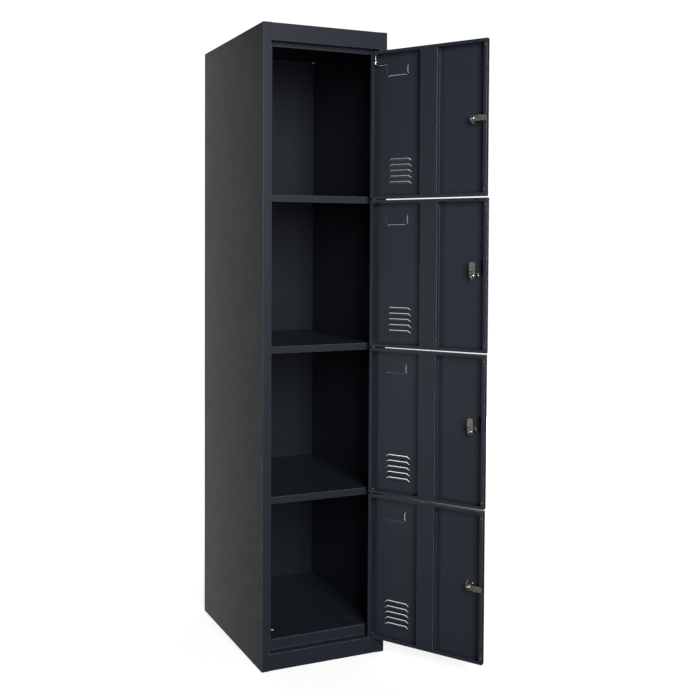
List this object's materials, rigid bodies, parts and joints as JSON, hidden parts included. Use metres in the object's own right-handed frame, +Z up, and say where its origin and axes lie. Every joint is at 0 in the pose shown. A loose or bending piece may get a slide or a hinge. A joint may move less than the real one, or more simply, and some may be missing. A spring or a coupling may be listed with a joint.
{
  "type": "locker cabinet",
  "caption": "Tall single-column steel locker with stacked compartments, louvred cam-lock doors on pin hinges standing open, fixed shelves and a plinth.",
  "frame": {"origin": "middle of the flange that the front of the plinth rests on, at floor level", "axes": "+Z up, front faces -Y, +X to the right seen from the front, where the doors hang"},
  "size_m": [0.5517, 0.7288, 1.78],
  "materials": {
    "powder_coat": "fine-textured semi-matt anthracite powder coat",
    "zinc_steel": "satin zinc plate",
    "bright_nickel": "bright nickel plate",
    "rubber": "matt"
  },
  "bodies": {
    "cabinet": {"left_side_panel": "powder_coat", "right_side_panel": "powder_coat", "back_panel": "powder_coat", "top_panel": "powder_coat", "floor_tray": "powder_coat", "base_plinth": "powder_coat", "shelf_1": "powder_coat", "shelf_2": "powder_coat", "shelf_3": "powder_coat", "hinge_plate_1": "zinc_steel", "hinge_plate_2": "zinc_steel", "hinge_plate_3": "zinc_steel", "hinge_pin_1": "zinc_steel", "hinge_pin_2": "zinc_steel", "hinge_pin_3": "zinc_steel", "hinge_pin_4": "zinc_steel"},
    "door_1": {"door_1_panel": "powder_coat", "door_1_stiffener": "powder_coat", "door_1_lock_housing": "bright_nickel", "door_1_lock_nut": "bright_nickel", "door_1_buffer_top": "rubber", "door_1_buffer_bottom": "rubber", "top_hinge_bracket": "zinc_steel", "top_hinge_spring": "bright_nickel"},
    "door_2": {"door_2_panel": "powder_coat", "door_2_stiffener": "powder_coat", "door_2_lock_housing": "bright_nickel", "door_2_lock_nut": "bright_nickel", "door_2_buffer_top": "rubber", "door_2_buffer_bottom": "rubber"},
    "door_3": {"door_3_panel": "powder_coat", "door_3_stiffener": "powder_coat", "door_3_lock_housing": "bright_nickel", "door_3_lock_nut": "bright_nickel", "door_3_buffer_top": "rubber", "door_3_buffer_bottom": "rubber"},
    "door_4": {"door_4_panel": "powder_coat", "door_4_stiffener": "powder_coat", "door_4_lock_housing": "bright_nickel", "door_4_lock_nut": "bright_nickel", "door_4_buffer_top": "rubber", "door_4_buffer_bottom": "rubber"},
    "top_pin": {"top_hinge_pin": "bright_nickel", "top_hinge_clip": "bright_nickel"},
    "lock_1": {"lock_1_plug": "bright_nickel", "lock_1_cam": "zinc_steel", "lock_1_cam_screw": "bright_nickel"},
    "lock_2": {"lock_2_plug": "bright_nickel", "lock_2_cam": "zinc_steel", "lock_2_cam_screw": "bright_nickel"},
    "lock_3": {"lock_3_plug": "bright_nickel", "lock_3_cam": "zinc_steel", "lock_3_cam_screw": "bright_nickel"},
    "lock_4": {"lock_4_plug": "bright_nickel", "lock_4_cam": "zinc_steel", "lock_4_cam_screw": "bright_nickel"}
  },
  "joints": [
    {"name": "door_1_hinge", "type": "hinge", "parent": "cabinet", "child": "door_1", "pos_m": [0.157, -0.005, 1.5152], "axis": [0, 0, 1], "range_deg": [-126, 4.5]},
    {"name": "door_2_hinge", "type": "hinge", "parent": "cabinet", "child": "door_2", "pos_m": [0.157, -0.005, 1.0957], "axis": [0, 0, 1], "range_deg": [-128, 2.5]},
    {"name": "door_3_hinge", "type": "hinge", "parent": "cabinet", "child": "door_3", "pos_m": [0.157, -0.005, 0.6762], "axis": [0, 0, 1], "range_deg": [-127, 3.5]},
    {"name": "door_4_hinge", "type": "hinge", "parent": "cabinet", "child": "door_4", "pos_m": [0.157, -0.005, 0.2567], "axis": [0, 0, 1], "range_deg": [-126, 4.5]},
    {"name": "lock_1_turn", "type": "hinge", "parent": "door_1", "child": "lock_1", "pos_m": [0.32856, -0.23263, 1.5137], "axis": [-0.809, -0.5878, 0], "range_deg": [0, 90]},
    {"name": "lock_2_turn", "type": "hinge", "parent": "door_2", "child": "lock_2", "pos_m": [0.3364, -0.22651, 1.0942], "axis": [-0.788, -0.6157, 0], "range_deg": [-90, 0]},
    {"name": "lock_3_turn", "type": "hinge", "parent": "door_3", "child": "lock_3", "pos_m": [0.33251, -0.2296, 0.6747], "axis": [-0.7986, -0.6018, 0], "range_deg": [-90, 0]},
    {"name": "lock_4_turn", "type": "hinge", "parent": "door_4", "child": "lock_4", "pos_m": [0.32856, -0.23263, 0.2552], "axis": [-0.809, -0.5878, 0], "range_deg": [0, 90]},
    {"name": "top_pin_slide", "type": "slide", "parent": "door_1", "child": "top_pin", "axis": [0, 0, 1], "range_m": [-0.0085, 0], "stiffness_N_per_m": 600, "springref_m": 0.006, "deforming": ["top_hinge_spring"]}
  ]
}
